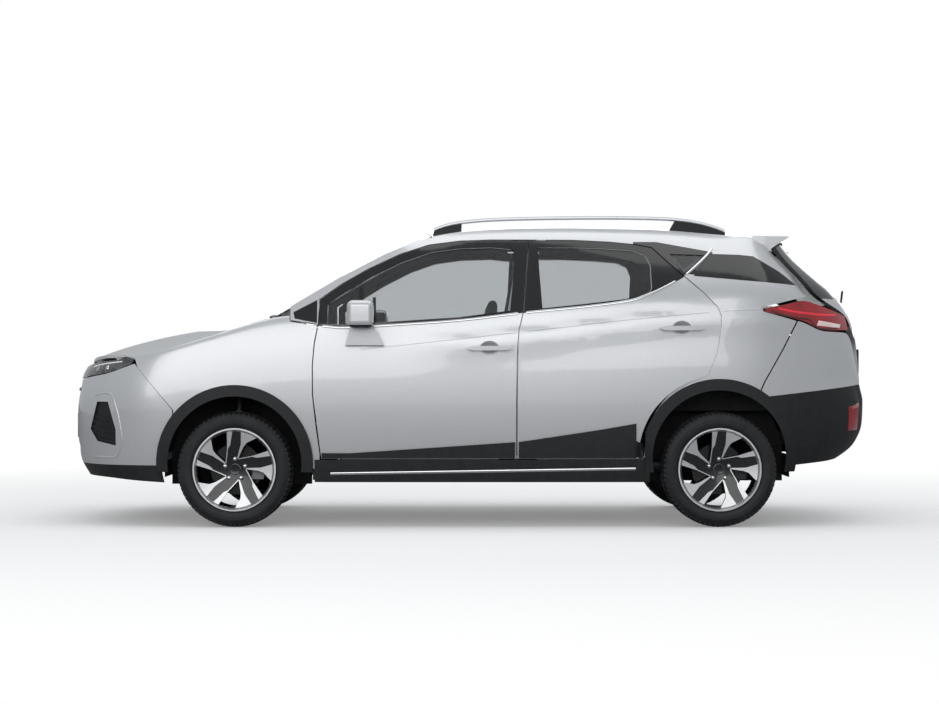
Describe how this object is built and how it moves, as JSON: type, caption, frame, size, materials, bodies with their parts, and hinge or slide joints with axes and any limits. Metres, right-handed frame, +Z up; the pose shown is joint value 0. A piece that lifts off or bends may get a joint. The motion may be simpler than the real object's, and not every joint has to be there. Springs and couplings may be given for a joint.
{
  "type": "crossover suv",
  "caption": "Compact crossover with doors, bonnet and tailgate that open on hinges, steered front wheels and turning rear wheels.",
  "frame": {"origin": "on the ground, at the middle of the overall length and width", "axes": "+X to the rear, +Y to the car's right, +Z up"},
  "size_m": [4.4993, 2.0908, 1.7184],
  "materials": {
    "body_paint": "gloss metallic",
    "tyre": "matte",
    "alloy": "machined and gloss black",
    "cast_steel": "rough",
    "body_steel": "satin",
    "glass": "gloss",
    "lamp_clear": "gloss",
    "lamp_red": "gloss",
    "black_plastic": "grained",
    "engine_alloy": "cast",
    "exhaust_steel": "dull",
    "cabin_plastic": "grained",
    "seat_cloth": "woven",
    "rail_alloy": "satin"
  },
  "bodies": {
    "body": {"arch_liners": "black_plastic", "body_side_left": "body_paint", "body_side_right": "body_paint", "cowl_and_wipers": "black_plastic", "dashboard": "cabin_plastic", "engine_block": "engine_alloy", "exhaust": "exhaust_steel", "fixed_glass": "glass", "floor_pan": "body_steel", "front_bumper": "body_paint", "front_grille": "black_plastic", "front_seats": "seat_cloth", "front_structure": "body_steel", "front_wings": "body_paint", "fuel_tank": "black_plastic", "headlamps": "lamp_clear", "lower_bumpers": "black_plastic", "pillar_panels": "black_plastic", "radiator": "engine_alloy", "rear_axle": "cast_steel", "rear_bumper": "body_paint", "rear_seat": "seat_cloth", "roof_panel": "body_paint", "roof_rails": "rail_alloy", "sill_and_arch_cladding": "black_plastic", "steering_wheel": "cabin_plastic", "tail_lamps": "lamp_red"},
    "door_front_left": {"door_cladding_front_left": "black_plastic", "door_front_left": "body_paint", "glass_front_left": "glass", "mirror_left": "body_paint"},
    "door_rear_left": {"door_cladding_rear_left": "black_plastic", "door_rear_left": "body_paint", "glass_rear_left": "glass"},
    "knuckle_left": {"knuckle_left": "cast_steel"},
    "wheel_front_left": {"tyre_front_left": "tyre", "rim_front_left": "alloy"},
    "wheel_rear_left": {"tyre_rear_left": "tyre", "rim_rear_left": "alloy"},
    "door_front_right": {"door_cladding_front_right": "black_plastic", "door_front_right": "body_paint", "glass_front_right": "glass", "mirror_right": "body_paint"},
    "door_rear_right": {"door_cladding_rear_right": "black_plastic", "door_rear_right": "body_paint", "glass_rear_right": "glass"},
    "knuckle_right": {"knuckle_right": "cast_steel"},
    "wheel_front_right": {"tyre_front_right": "tyre", "rim_front_right": "alloy"},
    "wheel_rear_right": {"tyre_rear_right": "tyre", "rim_rear_right": "alloy"},
    "bonnet": {"bonnet": "body_paint"},
    "tailgate": {"rear_wiper": "black_plastic", "tailgate": "body_paint", "tailgate_glass": "glass"}
  },
  "joints": [
    {"name": "steer_left", "type": "hinge", "parent": "body", "child": "knuckle_left", "pos_m": [-1.285, -0.705, 0.205], "axis": [0, 0.209, 0.9779], "range_deg": [-30, 30]},
    {"name": "steer_right", "type": "hinge", "parent": "body", "child": "knuckle_right", "pos_m": [-1.285, 0.705, 0.205], "axis": [0, -0.209, 0.9779], "range_deg": [-30, 30]},
    {"name": "wheel_front_left_spin", "type": "hinge", "parent": "knuckle_left", "child": "wheel_front_left", "pos_m": [-1.285, -0.778, 0.314], "axis": [0, 1, 0], "continuous": true},
    {"name": "wheel_rear_left_spin", "type": "hinge", "parent": "body", "child": "wheel_rear_left", "pos_m": [1.355, -0.778, 0.314], "axis": [0, 1, 0], "continuous": true},
    {"name": "door_front_left_hinge", "type": "hinge", "parent": "body", "child": "door_front_left", "pos_m": [-0.79, -0.864, 0.75], "axis": [0, 0, -1], "range_deg": [0, 66]},
    {"name": "door_rear_left_hinge", "type": "hinge", "parent": "body", "child": "door_rear_left", "pos_m": [0.29, -0.864, 0.75], "axis": [0, 0, -1], "range_deg": [0, 68]},
    {"name": "wheel_front_right_spin", "type": "hinge", "parent": "knuckle_right", "child": "wheel_front_right", "pos_m": [-1.285, 0.778, 0.314], "axis": [0, 1, 0], "continuous": true},
    {"name": "wheel_rear_right_spin", "type": "hinge", "parent": "body", "child": "wheel_rear_right", "pos_m": [1.355, 0.778, 0.314], "axis": [0, 1, 0], "continuous": true},
    {"name": "door_front_right_hinge", "type": "hinge", "parent": "body", "child": "door_front_right", "pos_m": [-0.79, 0.864, 0.75], "axis": [0, 0, 1], "range_deg": [0, 66]},
    {"name": "door_rear_right_hinge", "type": "hinge", "parent": "body", "child": "door_rear_right", "pos_m": [0.29, 0.864, 0.75], "axis": [0, 0, 1], "range_deg": [0, 68]},
    {"name": "bonnet_hinge", "type": "hinge", "parent": "body", "child": "bonnet", "pos_m": [-1.13, 0, 1.128], "axis": [0, 1, 0], "range_deg": [0, 55]},
    {"name": "tailgate_hinge", "type": "hinge", "parent": "body", "child": "tailgate", "pos_m": [1.552, 0, 1.624], "axis": [0, -1, 0], "range_deg": [0, 76]}
  ],
  "couplings": [
    {"joint": "steer_right", "follows": "steer_left", "ratio": 1}
  ]
}
